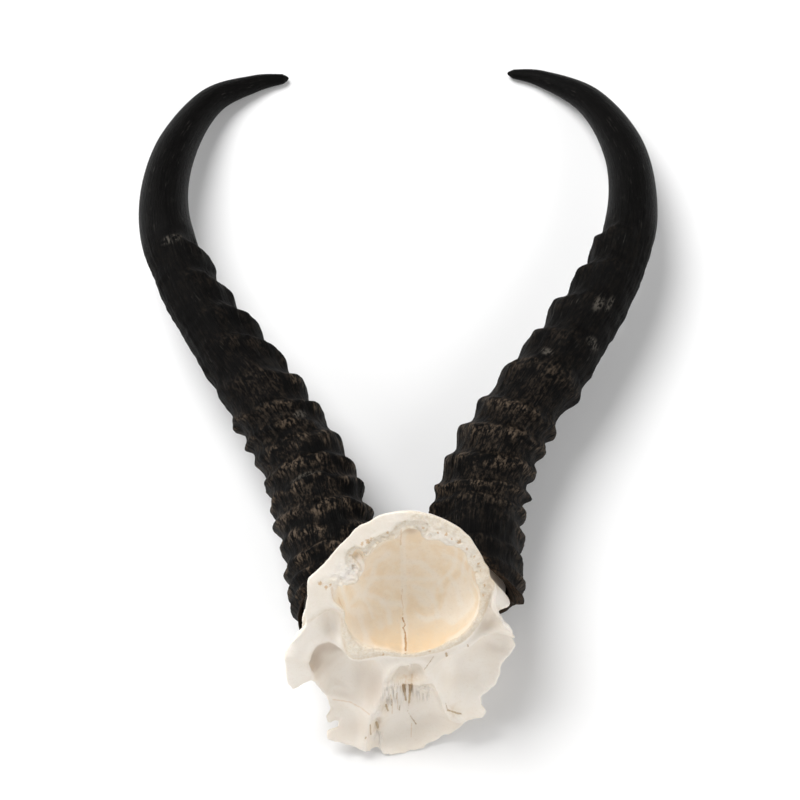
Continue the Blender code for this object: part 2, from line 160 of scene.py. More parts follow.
NOSE_FORMS = (
    (-3.2, 9.4, -55.5, 4.6, 4), (-2.4, -5.8, -55, 4.2, 5), (-2.4, -11.6, -68, 3, 5),
    (3.4, -0.4, -56.5, 0.9, 4.8), (3.4, 2.1, -57.5, 0.9, 6, 0.12), (2.6, -8, -65, 1.2, 2.4),
    (3.4, -12.6, -76, 1.6, 2.8),
)
NOSE_RIBS = ((0.55, -5.8, -58, 4, 6.5), (0.55, 6.6, -55, 2.6, 4))
RIB_SPACING = 1.7
# Where the bone is spongy over (x, y), as hills too.
SPONGY = (
    (1, -22.5, 11, 6, 5.5), (1, -11.8, -68, 3.4, 7), (0.8, -9, -60, 3, 5),
    (1, 9.8, -57, 4.6, 3.4), (0.7, 22, -71, 4, 3), (0.5, 1.4, -38.8, 2.6, 1.6),
    (0.5, 18, 27, 12, 4, -0.5),
)

# Stains, painted shade and other marks as the photo's view shows them: strength, (x, height in that view),
# half sizes.
TAN_PATCHES = (
    (1.3, 1.4, -35.6, 6.2, 3.2), (0.8, 20.5, -50.5, 2.6, 3.4), (0.3, 9.5, -41.5, 4, 3),
    (0.8, -12.5, -57, 2.4, 3), (0.5, -21, 5, 2.2, 4.5), (0.7, -9, -49, 1.8, 3),
)
# Darker tan towards the bottom of the brain hollow, just inside its front rim.
HOLLOW_LOW_TAN = ((0.9, 0.4, -24.5, 6.5, 3.4), (0.45, -8, -21, 9, 4))
# Painted shade inside the top notch and the side notch of the brain hollow.
NOTCH_PAINTED_SHADES = ((1, 3.4, 27.2, 3.4, 1.5), (1.3, -18.6, 16.2, 1.8, 2.2))
STRIPED = ((1, -5.6, -42, 4.6, 4.5), (0.8, 7.5, -42.5, 3.2, 3), (0.7, -12.5, -60, 2, 5.5))
# Painted shade on the underside, in and beside the eye sockets.
PAINTED_SHADES = (
    (1, -13.4, -40, 4.6, 8.5), (0.6, -22.5, -57.5, 7, 6), (0.6, 38.4, -22.3, 4.5, 4),
    (0.4, -19.5, -35, 2.6, 8),
)
TISSUE = ((1, 35.2, 13.2, 3.4, 4.2),)
GREYED = ((1.2, 39, 6.6, 4.2, 5.2),)
# Painted shade where the left eye socket is darkest, just inside its rim, in the same view.
LEFT_PAINTED_SHADE = ((-37.6, -30), (-38, -25.2), (-36, -22.4), (-31.6, -21.6), (-27, -23.6))
# Marks as the photo's view shows them: (x, height in that view). First brown cracks and slots
# with their widths, then paler lines, then tan pores with their sizes.
BROWN_LINES = (
    (0.30, ((-0.6, -9.6), (-0.3, -10.8), (0.1, -11.6))),
    (0.20, ((0.1, -11.6), (0.5, -12.8), (-0.5, -13.9), (0, -14.8))),
    (0.28, ((0, -14.8), (0.5, -16.2), (0.5, -18.4))),
    (0.42, ((0.5, -18.4), (0.7, -20.6), (0.4, -24.8))),
    (0.62, ((-0.8, -38.4), (-0.4, -41.5))),
    (0.40, ((-0.4, -41.5), (0.15, -45.4))),
    (0.62, ((2.7, -38.4), (2.1, -42))),
    (0.42, ((2.1, -42), (1.6, -46.5))),
    (0.10, ((1.5, -46.5), (1, -50.5), (2.1, -52.6))),
    (0.22, ((2.1, -52.6), (4.5, -56.4))),
    (0.20, ((-6, -44.8), (-6.1, -47.6))),
    (0.12, ((-3.8, -42.2), (-3.9, -45))),
    (0.34, ((-8.4, -47.2), (-7.6, -50))),
    (0.22, ((-2.5, -47.8), (-2.7, -49.8))),
    (0.14, ((17.4, -46.8), (18.2, -50.2))),
    (0.34, ((18.2, -49.9), (22.5, -51.5), (24, -51.7))),
    (0.14, ((12.3, -26.3), (10.2, -29.4), (8.3, -31.9))),
    (0.50, ((17.7, -25.2), (17.9, -26.2))),
    (0.25, ((26.8, -21.6), (27.1, -22.4))),
    (0.50, ((-12.7, -55.2), (-12.2, -57.4))),
    (0.22, ((-15.4, -55.8), (-15.3, -60.4))),
    (0.35, ((-17.4, -61.4), (-17.6, -62))),
)
FAINT_LINES = (
    (0.14, ((-0.5, 2.6), (-0.9, -1.5), (-0.2, -5), (-0.5, -8.6))),
    (0.26, ((-0.5, 27), (-0.9, 21.4))),
    (0.45, ((-30, 3.4), (-29.6, 0.4), (-28.8, -1.8))),
    (0.20, ((-27.6, -0.4), (-26, -4.6))),
    (0.20, ((-31.4, -44.6), (-27, -45.3), (-23.8, -45.9), (-19, -48.6), (-15.6, -51.2))),
    (0.16, ((2.6, -56), (2.2, -62))),
    (0.16, ((-6.2, -43), (-5.6, -47), (-5.9, -51.5))),
    (0.14, ((-3.3, -42), (-3.5, -49.5))),
    (0.30, ((3, -34), (2.7, -38.5))),
    (0.24, ((0.4, -34.6), (0.2, -38.5))),
)
# Painted highlights: lighter curved lines on the brain hollow's wall, in the same view: half widths and
# points.
PAINTED_HIGHLIGHT_LINES = (
    (0.25, ((-16.7, 0.3), (-13.5, 7.8), (-11.3, 14.2), (-6.5, 17.4))),
    (0.30, ((1, 14.2), (7.4, 13.7), (12.2, 9.9), (15.5, 5.7), (16.5, 1.4))),
    (0.35, ((17.6, 16.4), (23.5, 13.7), (27.2, 7.8), (28.8, 1.4))),
    (0.25, ((4.7, 3.5), (10.1, 1.4), (13.3, -2.9), (14.4, -9.3))),
    (0.25, ((19.7, 7.8), (23, 2.4), (24, -4))),
    (0.25, ((-22, -2.9), (-18.8, 0.3), (-15.6, -2.9), (-13.5, -9.3))),
    (0.20, ((-9.2, -2.9), (-6.5, -7.2), (-6, -11.5))),
    (0.15, ((-15, 7.2), (-4, 7.7), (4, 7), (15, 6.4))),
)
PORES = (
    (-14.4, 22.3, 0.9), (-16.8, 21.6, 0.6), (-12.9, 23.6, 0.5), (23.4, 21.7, 0.75), (18.2, 24.7, 0.6),
    (20.4, 23, 0.4), (14.6, 25.6, 0.4), (-34.7, 5.4, 0.9), (-32.4, 3.7, 0.7), (-30.5, 4.8, 0.5),
    (29.8, 15.6, 0.4), (31.6, 12.4, 0.45), (32.4, 9.6, 0.35), (34, 3.4, 0.45), (33.6, -0.6, 0.4),
    (26.6, 18.8, 0.4), (8.6, 27.6, 0.45), (-6.2, 25.8, 0.5), (10.8, -24.2, 0.4), (-9, -25, 0.45),
)

# A sheath's half width and half depth at each distance along the horn's axis.
SHEATH_SIZE = np.array((
    (0, 19.6, 25.5), (58, 19.2, 24.5), (95, 18, 22), (132, 17, 19.5), (168, 15.2, 16.8),
    (202, 13.4, 14.4), (236, 11.5, 12.2), (272, 9.6, 9.9), (306, 6.8, 7), (336, 3.7, 3.8),
    (349, 2, 2.1),
))
SHEATH_WALL = 2.4
SEAT_END = 36
SEAT_ROWS = 16
SEAT_TAPER = 1.5
STUMP_AT = 22.0
# Points of a sheath's skin round the horn and along it.
SKIN_POINTS = (190, 500)
# How high the ridges stand on the inner side, how deep the valleys lie under the sheath's size,
# and the least and most room that one ridge takes up.
INNER_TEETH = 3.3
VALLEY = 1.0
RIDGE_ROOM = (9, 19)

# Each horn has its axis (x, y, h), and the distance along it of each ridge on the outer side. The
# lag says by that distance how much nearer the skull a ridge crosses the horn's face and its inner
# side, and one ridge may fade out on the inner side. Teeth is how high the ridges stand on the
# outer side, and bulge, by distance, how far the sheath swells on its inner and its outer side.
# Scuffs have their distance, degrees round the horn and half sizes of both. The rim is where the
# sheath ends, by degrees from the outer side over the back. Worn is how smooth the face is near
# the skull, gap how far the bone stump stays off the sheath's wall on the outer side, outward the
# outer side's direction along x, and patches how fine and how plentiful the dust's patches are.
LEFT_HORN = SimpleNamespace(
    side="left", outward=-1, seed=11, patches=1, worn=0, gap=0, teeth=2.7, faded=109,
    axis=((-25.5, -30, 20), (-28.5, -23, 38), (-35.5, -8, 75), (-45.5, 7, 104), (-63.5, 24, 130),
          (-83, 40, 154), (-99.5, 56, 180), (-107.5, 71, 209), (-103.5, 85, 241), (-88, 95, 273),
          (-67, 97.5, 287.5), (-50.5, 98, 292)),
    ridges=(13, 22, 31, 44, 58, 69, 82, 97, 109, 121, 136, 147, 163, 184, 205),
    lag=np.array(((13, 5, 5), (44, 7, 2), (58, 9, 3), (70, 4, 1), (82, 6, 4), (97, 9, 5),
                  (121, 9, 16), (136, 6, 15), (147, -4, 10), (163, -6, 7), (205, -5, 6))),
    bulge=np.array(((10, 0, 0.6), (40, 0, 0.5), (60, 0, 0.9), (74, 0, 0.9), (100, -1.7, 0.9),
                    (112, -1.7, 0.7), (135, -1.9, 0), (185, -1.5, 0), (225, 0, 0))),
    scuffs=((209, 100, 2.5, 26), (101, 120, 2.5, 16), (67, 85, 2, 30)),
    rim=((0, 4), (60, 8), (120, 15), (180, 18), (240, 14), (300, 6), (360, 4)),
)
RIGHT_HORN = SimpleNamespace(
    side="right", outward=1, seed=41, patches=2, worn=1, gap=0.9, teeth=3.5, faded=0,
    axis=((27.5, -32, 20), (29, -25, 38), (33, -10, 75), (43.5, 5, 103), (62.5, 22, 129),
          (82, 37, 152), (99.5, 53, 178), (108.5, 68, 206), (107, 83, 238), (93, 93, 270),
          (71, 97.2, 287.6), (54, 98.4, 292.4)),
    ridges=(15, 24, 34, 50, 64, 76, 90, 104, 115, 134, 148, 166, 190, 210),
    lag=np.array(((15, 2, 3), (50, 7, 6), (64, 12, 7), (76, 15, 10), (104, 10, 9), (115, 6, 6),
                  (134, 1, 7), (148, -4, 2), (166, -7, 0), (190, -5, 4))),
    bulge=np.array(((20, 0, 1.6), (38, 0, 1.8), (52, 0, 0.6), (70, 0, 0.1), (100, -0.5, -0.9),
                    (122, -0.9, -1.6), (150, -1.1, 0), (190, -0.4, 0), (225, 0, 0))),
    scuffs=((172, 90, 5, 9), (176, 72, 5, 7), (156, 58, 3, 20), (139, 116, 2.5, 14),
            (146, 160, 3, 6)),
    rim=((0, 15), (30, 13.5), (50, 13.5), (65, 15.5), (78, 20), (95, 23), (120, 23), (180, 19),
         (240, 17), (280, 19), (320, 22), (345, 18), (360, 15)),
)


def lattice(ix, iy, iz, seed):
    """A fixed value from -1 to 1 for each whole-number corner."""
    n = (ix * 374761393 + iy * 668265263 + iz * 1442695041 + seed * 974634777) & 0xFFFFFFFF
    n = ((n ^ (n >> 13)) * 1274126177) & 0xFFFFFFFF
    n = n ^ (n >> 16)
    return (n & 0xFFFFFF).astype(np.float32) / 8388607.5 - 1.0


def noise(points, size, seed=0):
    """Smooth noise from -1 to 1 with lumps of about the given size."""
    p = np.asarray(points, dtype=np.float64) / size
    cell = np.floor(p)
    f = (p - cell).astype(np.float32)
    w = f * f * (3 - 2 * f)
    c = cell.astype(np.int64)
    total = np.zeros(len(p), np.float32)
    for corner in np.ndindex(2, 2, 2):
        share = 1
        for axis, far in enumerate(corner):
            share = share * (w[:, axis] if far else 1 - w[:, axis])
        total += share * lattice(*(c + corner).T, seed)
    return total * 1.5


def layered(points, size, seed=0, layers=3):
    total = 0
    for i in range(layers):
        total = total + noise(points, size / 2**i, seed + 17 * i) / 2**i
    return total / 1.5


def step(x, low, high):
    """Goes smoothly from 0 at low to 1 at high, whichever of the two is the larger."""
    t = np.clip((x - low) / (high - low), 0, 1)
    return t * t * (3 - 2 * t)


def join(a, b, soft):
    """Union of two fields with a soft seam."""
    k = np.clip(0.5 + 0.5 * (b - a) / soft, 0, 1)
    return b + (a - b) * k - soft * k * (1 - k)


def take(a, b, soft):
    """Field a without field b, with a soft edge."""
    return -join(-a, b, soft)


def rounded(points):
    """A closed outline with its corners cut."""
    p = np.array(points, float)
    q = np.roll(p, -1, axis=0)
    return np.stack((p * 0.75 + q * 0.25, p * 0.25 + q * 0.75), 1).reshape(-1, 2)


def line_distance(points, x, y, closed=False):
    """Distance to a line through points, or to a closed outline, below zero inside it."""
    p = np.array(points, float)
    ends = np.roll(p, -1, axis=0) if closed else p[1:]
    best = np.full(np.shape(x), 1e9)
    inside = np.zeros(np.shape(x), bool)
    for (ax, ay), (bx, by) in zip(p, ends):
        ex, ey = bx - ax, by - ay
        t = np.clip(((x - ax) * ex + (y - ay) * ey) / (ex * ex + ey * ey), 0, 1)
        best = np.minimum(best, (x - ax - ex * t) ** 2 + (y - ay - ey * t) ** 2)
        if closed and ay != by:
            inside ^= ((ay > y) != (by > y)) & (x < ax + (y - ay) * ex / ey)
    return np.sqrt(best) * np.where(inside, -1, 1)


def within(points, x, y):
    """Distance inside a closed outline with its corners cut, below zero outside it."""
    return -line_distance(rounded(points), x, y, closed=True)


def hill(x, y, cx, cy, rx, ry, turn=0.0):
    """A soft round hill of height 1."""
    c, s = math.cos(turn), math.sin(turn)
    u = ((x - cx) * c + (y - cy) * s) / rx
    v = (-(x - cx) * s + (y - cy) * c) / ry
    return np.exp(-(u * u + v * v))


def crest(x, y, points, width):
    """A soft ridge of height 1 along a line."""
    return np.exp(-(line_distance(points, x, y) / width) ** 2)


def hills(x, y, rows):
    """Soft round hills added up."""
    return sum(height * hill(x, y, *place) for height, *place in rows)


def crests(x, y, rows):
    """Soft ridges added up."""
    return sum(height * crest(x, y, points, width) for height, points, width in rows)


def seen_height(y, h):
    """How high up a point stands in the photo's view."""
    return y * math.cos(OUTLINE_LEAN) + h * math.sin(OUTLINE_LEAN)


def to_row():
    """Skull frame (x, y, -h) in metres to the row frame."""
    place = Matrix.Translation(Vector(SKULL_AT) * 0.001)
    return place @ Matrix.Rotation(LYING_TURN, 4, "X")


def mesh_piece(name, verts, faces, node, normals=None):
    """A piece from points (x, y, h) in millimetres that stands for a CAD node."""
    m = np.array(to_row())
    co = np.array(verts, dtype=np.float64) * (1, 1, -1)
    co = co * 0.001 @ m[:3, :3].T + m[:3, 3]
    mesh = bpy.data.meshes.new(name)
    mesh.from_pydata(co.tolist(), [], faces)
    mesh.polygons.foreach_set("use_smooth", np.ones(len(faces), dtype=bool))
    mesh.update()
    if normals is not None:
        turned = (normals * (1, 1, -1)) @ m[:3, :3].T
        mesh.normals_split_custom_set_from_vertices(turned.tolist())
    piece = bpy.data.objects.new(name, mesh)
    bpy.context.scene.collection.objects.link(piece)
    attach(piece, "root")
    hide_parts(node)
    return piece


def outward_sign(verts, faces):
    """Above 0 if the faces look outwards once h is drawn downwards."""
    co = np.asarray(verts) * (1, 1, -1)
    a, b, c = (co[[face[i] for face in faces]] for i in range(3))
    return np.einsum("ij,ij->i", a, np.cross(b, c)).sum()


def store(piece, name, values):
    """Keeps one number, or one (x, y, z), per point of the mesh for the material to read."""
    values = np.asarray(values, dtype=np.float32)
    kind = "FLOAT_VECTOR" if values.ndim == 2 else "FLOAT"
    layer = piece.data.attributes.new(name, kind, "POINT")
    layer.data.foreach_set("vector" if values.ndim == 2 else "value", values.ravel())


class Axis:
    """A smooth line through the axis points, walked by distance."""

    def __init__(self, points):
        p = np.array(points, dtype=float)
        p = np.vstack((2 * p[0] - p[1], p, 2 * p[-1] - p[-2]))
        t = np.linspace(0, 1, 24, endpoint=False)[:, None]
        line = []
        for a, b, c, d in zip(p, p[1:], p[2:], p[3:]):
            out, into = (c - a) / 2, (d - b) / 2
            line.append((2 * t**3 - 3 * t**2 + 1) * b + (t**3 - 2 * t**2 + t) * out
                        + (3 * t**2 - 2 * t**3) * c + (t**3 - t**2) * into)
        self.line = np.vstack(line + [p[-2]])
        gaps = np.linalg.norm(np.diff(self.line, axis=0), axis=1)
        self.walked = np.concatenate(([0], np.cumsum(gaps)))
        self.length = self.walked[-1]

    def at(self, s):
        s = np.clip(s, 0, self.length)
        return np.stack([np.interp(s, self.walked, self.line[:, i]) for i in range(3)], -1)

    def section(self, s):
        ahead = self.at(s + 3.0) - self.at(s - 3.0)
        ahead /= np.linalg.norm(ahead, axis=-1, keepdims=True)
        side = np.cross(DEEP_SIDE, ahead)
        side /= np.linalg.norm(side, axis=-1, keepdims=True)
        side *= np.where(side[..., :1] < 0, -1, 1)
        deep = np.cross(ahead, side)
        deep *= np.where(deep[..., 1:2] < 0, -1, 1)
        return self.at(s), side, deep


def sheath_size(s):
    return [np.interp(s, SHEATH_SIZE[:, 0], SHEATH_SIZE[:, i]) for i in (1, 2)]


def rim_distance(rim, angle):
    places = np.array(rim, float)
    return np.interp(np.degrees(angle) % 360, places[:, 0], places[:, 1])


def ball(x, y, h, mass):
    """Field of a ball stretched to three half sizes."""
    (cx, cy, ch), (rx, ry, rh) = mass
    u, v, w = (x - cx) / rx, (y - cy) / ry, (h - ch) / rh
    far = np.sqrt(u * u + v * v + w * w)
    slope = np.sqrt((u / rx) ** 2 + (v / ry) ** 2 + (w / rh) ** 2)
    return far * (far - 1) / np.maximum(slope, 1e-4)


def stump(x, y, h, horn):
    """Field of the bone stump in a sheath's mouth, and of the shell that the sheath takes up."""
    axis = Axis(horn.axis)
    centre, side, deep = axis.section(np.array(STUMP_AT))
    ahead = axis.at(30) - axis.at(8)
    ahead /= np.linalg.norm(ahead)
    along, across, depth = (sum((v - c) * w for v, c, w in zip((x, y, h), centre, way))
                            for way in (ahead, side, deep))
    along = along + STUMP_AT
    across = across * horn.outward
    width, deepness = sheath_size(STUMP_AT)
    around = np.sqrt((across / width) ** 2 + (depth / deepness) ** 2)
    skin = (around - 1) * width
    angle = np.arctan2(depth / deepness, across / width)
    lip = rim_distance(horn.rim, angle)
    away = horn.gap * step(np.cos(angle), 0.1, 0.8)
    grow = -1.2 - 2.3 * step(along, lip - 2.0, lip - 0.4) - away
    bone = np.maximum(skin - grow, along - SEAT_END + 2)
    bone = np.maximum(bone, 2 - along)
    shell = np.maximum(skin - 0.8, lip - 0.4 - along)
    shell = np.maximum(shell, -(skin + SHEATH_WALL + 1.0 + away))
    return bone, shell


class Underside:
    """Height maps of the plate's underside over (x, y)."""

    def __init__(self, x, y):
        self.x, self.y = x, y
        self.opening = -within(OPENING, x, y)
        self.natural = within(NATURAL, x, y)
        self.roof = self.top_side()
        self.height = self.shape()

    def top_side(self):
        """Height of the masses' upper side."""
        x, y = self.x, self.y
        top = np.zeros_like(x)
        for (cx, cy, ch), (rx, ry, rh) in BONE_MASSES:
            left = 1 - ((x - cx) / rx) ** 2 - ((y - cy) / ry) ** 2
            top = np.maximum(top, ch + rh * np.sqrt(np.maximum(left, 0)) * (left > 0))
        return top

    def shape(self):
        x, y = self.x, self.y
        deep = UNDERSIDE_DEPTH + np.maximum(BREAK_Y - y, 0) * BREAK_SLOPE
        deep += hills(x, y, FOSSAE) + crests(x, y, BONE_RIDGES)
        arch = step(within(NOSE_ARCH, x, y), -0.9, 0.9)
        deep += arch * (2.0 - 3.6 * step(-y, 39.5, 49.0))
        deep -= 1.2 * (1 - arch) * step(np.abs(x - 1.5), 13, 8) * step(-y, 33, 38) * step(y, -51, -49)
        deep += crests(x, y, ARCH_RIDGES) + hills(x, y, ARCH_KNOBS) + arch * hills(x, y, ARCH_SWELLS)
        left_floor = (15.6 - 5.5 * ((x + 25) / 17) ** 2 - 3.6 * ((y + 50) / 30) ** 2
                      + hills(x, y, LEFT_FLOOR) - 1.3 * crest(x, y, ORBIT_FOLD, 2.2))
        right_floor = (15.0 - 4.4 * ((x - 30) / 17) ** 2 - 3.4 * ((y + 46) / 26) ** 2
                       + hills(x, y, RIGHT_FLOOR))
        nose_floor = 8.6 + 0.26 * (-47 - y) + 2.6 * (1 - ((x - 7) / 13) ** 2)
        nose_floor -= 1.2 * crest(x, y, NOSE_KEEL, 1.6)
        for outline, floor, soft in ((LEFT_ORBIT, left_floor, 3.4), (RIGHT_ORBIT, right_floor, 3.4),
                                     (NOSE_HOLLOW, nose_floor, 1.5)):
            into = 1 - np.exp(-(np.maximum(within(outline, x, y), 0) / soft) ** 1.35)
            deep = deep + (np.maximum(floor, deep) - deep) * into
        deep -= 2.2 * crest(x, y, SINUS_WALL, 2.6) * step(-y, 47, 50)
        ribs = np.cos(2 * np.pi * (x + 0.05 * (y + 55)) / RIB_SPACING)
        deep += hills(x, y, NOSE_FORMS) + ribs * hills(x, y, NOSE_RIBS)
        deep = join(deep, self.roof - THINNEST, 3.0)
        rise = 1 - np.exp(-(np.maximum(self.natural, 0) / 2.2) ** 1.2)
        edge = 0.9 * np.exp(-(np.minimum(self.natural, 0) / 1.3) ** 2) * step(-x, -34, -30)
        edge += 0.4 * np.exp(-(self.opening / 0.8) ** 2) * step(self.natural, 0, -1.5)
        spots = np.stack((x, y, 0 * x), -1).reshape(-1, 3)
        uneven = layered(spots, 7.0, 37).reshape(x.shape)
        ledge = 1.0 * step(self.opening + 1.3 * uneven, 4.3, 3.5) * step(y, 7, 13)
        ledge = ledge * step(self.opening, 0.3, 1.1) * (1 - 0.75 * step(x, 6, 14))
        facet = 0.06 * np.maximum(self.opening - 4.5, 0) ** 1.3 * step(y, 3, 12)
        rim = (ledge + facet) * step(self.natural, 0, -2)
        return np.maximum(np.maximum(deep, 0) * rise, edge * 0.8 + rim)

    def rawness(self):
        """How broken the surface is, 0 to 1, and how spongy."""
        x, y = self.x, self.y
        rim = step(self.natural, 1.8, 0.2)
        rim = rim * (1 - 0.85 * step(-x, 25, 29) * step(-y, -9, -4))
        rim = rim * (1 - 0.75 * step(self.opening, 3.5, 5.0) * step(y, 4, 9) * step(-x, -6, 2))
        sponge = np.max([height * hill(x, y, *place) for height, *place in SPONGY], axis=0)
        return rim, sponge


def read_map(grid_x, grid_y, values, x, y):
    """Values of a height map at any points."""
    cell = grid_x[1] - grid_x[0]
    i = np.clip((x - grid_x[0]) / cell, 0, len(grid_x) - 1.001)
    j = np.clip((y - grid_y[0]) / cell, 0, len(grid_y) - 1.001)
    i0, j0 = i.astype(int), j.astype(int)
    fi, fj = i - i0, j - j0
    return ((values[i0, j0] * (1 - fi) + values[i0 + 1, j0] * fi) * (1 - fj)
            + (values[i0, j0 + 1] * (1 - fi) + values[i0 + 1, j0 + 1] * fi) * fj)


def view_field(outline, x, y, h, seed):
    """Distance to an outline drawn in the photo's view, made a little uneven, below zero inside."""
    w = seen_height(y, h)
    gx, gw = np.arange(-60, 60, 0.5), np.arange(-95, 62, 0.5)
    px, pw = np.meshgrid(gx, gw, indexing="ij")
    flat = line_distance(outline, px, pw, closed=True)
    spots = np.stack((px, pw, 0 * px), -1).reshape(-1, 3)
    flat += 0.35 * layered(spots, 3.4, seed).reshape(px.shape)
    return read_map(gx, gw, flat, x, w).astype(np.float32)


def surface(field, low, cell):
    """Quads over the zero surface of a field on a grid."""
    inside = field < 0
    nx, ny, nz = (n - 1 for n in inside.shape)
    corners = list(np.ndindex(2, 2, 2))
    count = sum(inside[i:i + nx, j:j + ny, k:k + nz].astype(np.uint8) for i, j, k in corners)
    live = (count > 0) & (count < 8)
    index = np.full(live.shape, -1, np.int64)
    index[live] = np.arange(live.sum())
    cells = np.argwhere(live)
    value = {c: field[cells[:, 0] + c[0], cells[:, 1] + c[1], cells[:, 2] + c[2]] for c in corners}
    total = np.zeros((len(cells), 3))
    hits = np.zeros(len(cells))
    for a in corners:
        for axis in range(3):
            if a[axis]:
                continue
            b = tuple(1 if i == axis else a[i] for i in range(3))
            va, vb = value[a], value[b]
            hit = (va < 0) != (vb < 0)
            t = np.where(hit, va / np.where(hit, va - vb, 1), 0)
            point = np.repeat(np.array(a, float)[None], len(cells), 0)
            point[:, axis] = t
            total += point * hit[:, None]
            hits += hit
    verts = np.array(low) + (cells + total / hits[:, None]) * cell
    quads = []
    for axis in range(3):
        e1, e2 = (axis + 1) % 3, (axis + 2) % 3
        here = [slice(1, -1)] * 3
        there = [slice(1, -1)] * 3
        here[axis], there[axis] = slice(0, -1), slice(1, None)
        a, b = inside[tuple(here)], inside[tuple(there)]
        edges = np.argwhere(a != b)
        flip = ~a[a != b]
        edges = edges + np.array([0 if i == axis else 1 for i in range(3)])
        ring = []
        for d1, d2 in ((-1, -1), (0, -1), (0, 0), (-1, 0)):
            c = edges.copy()
            c[:, e1] += d1
            c[:, e2] += d2
            ring.append(index[c[:, 0], c[:, 1], c[:, 2]])
        quad = np.stack(ring, 1)
        quad[flip] = quad[flip][:, ::-1]
        quads.append(quad)
    return verts, np.vstack(quads)


def largest_part(verts, quads):
    """The largest connected part of a surface, without loose crumbs."""
    label = np.arange(len(verts))
    while True:
        low = label[quads].min(axis=1)
        new = label.copy()
        for i in range(4):
            np.minimum.at(new, quads[:, i], low)
        new = new[new]
        if np.array_equal(new, label):
            break
        label = new
    names, counts = np.unique(label, return_counts=True)
    keep = label == names[counts.argmax()]
    number = np.cumsum(keep) - 1
    return verts[keep], number[quads[keep[quads[:, 0]]]]


def bone_mass(x, y, h):
    """Field of the plate's masses and horn stumps, with room for the sheaths."""
    bone = ball(x, y, h, BONE_MASSES[0])
    for mass in BONE_MASSES[1:]:
        bone = join(bone, ball(x, y, h, mass), 5.0)
    reach = 12 + 12 * step(y, -5, 5)
    trim = view_field(DOME_EDGE, x, y, h, 92) - 14 * step(h - reach, 0, 10)
    bone = -join(-bone, -trim, 1.6)
    shells = []
    for horn in (LEFT_HORN, RIGHT_HORN):
        core, shell = stump(x, y, h, horn)
        bone = join(bone, core, 3.0)
        shells.append(shell)
    for shell in shells:
        bone = np.maximum(bone, -shell)
    return bone


def brain_cavity(x, y, h, opening):
    """Field of the brain's hollow with its folds, notches and sponge."""
    spread = 2.6 * step(h, 0.8, 4.0) + 12 * step(h, 3, 11)
    spots = np.stack((x, y, h), -1)[::2, ::2, ::2]
    bend = noise(spots.reshape(-1, 3), FOLD_BEND, FOLD_SEED).reshape(spots.shape[:3])
    for axis in range(3):
        bend = np.repeat(bend, 2, axis)
    bend = bend[:x.shape[0], :x.shape[1], :x.shape[2]]
    cavity = np.maximum(ball(x, y, h, BRAIN_HOLLOW) + brain_folds(x, y, bend), opening - spread)
    cavity = join(cavity, np.maximum(ball(x, y, h, LEFT_CORNER), opening - spread), 1.5)
    for hollow, soft in ((LEFT_RECESS, 1.5), (TOP_NOTCH, 1.0), (SIDE_NOTCH, 1.0)):
        cavity = join(cavity, ball(x, y, h, hollow), soft)
    return take(cavity, ball(x, y, h, SPONGE), 1.5)


def bone_field(under, cell, x, y, h):
    """Field of the whole bone, broken and crumbled."""
    bone = bone_mass(x, y, h)
    cavity = brain_cavity(x, y, h, under.opening[:, :, None].astype(np.float32))
    hx, hy = np.gradient(under.height, cell)
    lean = 1 / np.sqrt(1 + hx * hx + hy * hy)
    below = ((h - under.height[:, :, None]) * lean[:, :, None]).astype(np.float32)
    edge = view_field(OUTLINE, x, y, h, 91) - OUTLINE_GROW
    shape = take(bone, below, 0.6)
    low_side = step((x + 34) * 0.7 - (y + 36) * 0.7, -3, 5)
    shape = take(shape, ball(x, y, h, LEFT_UNDERCUT), 0.5 + 5.0 * low_side)
    shape = take(shape, ball(x, y, h, RIGHT_UNDERCUT), 0.8)
    shape = take(shape, cavity, 0.5)
    natural = step(under.natural, 0, 3)[:, :, None]
    shape = -join(-shape, -edge, 0.7 + 0.9 * natural)

    near = np.nonzero(np.abs(shape) < 2.4)
    p = np.stack((x[near], y[near], h[near]), -1)
    rim, sponge = (v[near[0], near[1]] for v in under.rawness())
    face = step(np.abs(below[near]), 4.0, 1.5) * step(p[:, 2], 9, 5)
    broken = step(np.abs(edge[near]), 2.0, 0.6) * step(p[:, 1], -8, -20)
    rough = np.maximum(rim * face * step(-bone[near], 0.3, 2.0), broken * 0.7)
    crumbs = np.maximum(sponge * step(np.abs(below[near]), 6, 3), 0)
    shape[near] += 0.22 * noise(p, 14.0, 21) + crumble(p, rough, crumbs)
    return shape


def build_bone():
    cell = BONE_CELL
    sizes = np.ceil((BONE_HIGH - BONE_LOW) / cell).astype(int)
    gx, gy, gh = [BONE_LOW[i] + cell * np.arange(sizes[i]) for i in range(3)]
    under = Underside(*np.meshgrid(gx, gy, indexing="ij"))
    grid = (v.astype(np.float32) for v in np.meshgrid(gx, gy, gh, indexing="ij"))
    verts, quads = surface(bone_field(under, cell, *grid), BONE_LOW, cell)
    verts, quads = largest_part(verts, quads)
    if outward_sign(verts, quads) < 0:
        quads = quads[:, ::-1]
    normals = smooth_normals(verts, quads)
    values = bone_values(verts, under, gx, gy)
    dry_bone = bone_material()
    lower = values["lower"][quads].mean(axis=1) > 0.5
    front = verts[quads][:, :, 1].mean(axis=1) < SPLIT_Y
    for name, chosen in (("bone_underside_front", lower & front), ("bone_underside_rear", lower & ~front),
                         ("bone_roof_front", ~lower & front), ("bone_roof_rear", ~lower & ~front)):
        used, faces = np.unique(quads[chosen], return_inverse=True)
        faces = faces.reshape(-1, 4)
        piece = mesh_piece(name, verts[used], faces.tolist(), "skull_plate", normals[used])
        for key, value in values.items():
            store(piece, key, value[used])
        piece.data.materials.append(dry_bone)


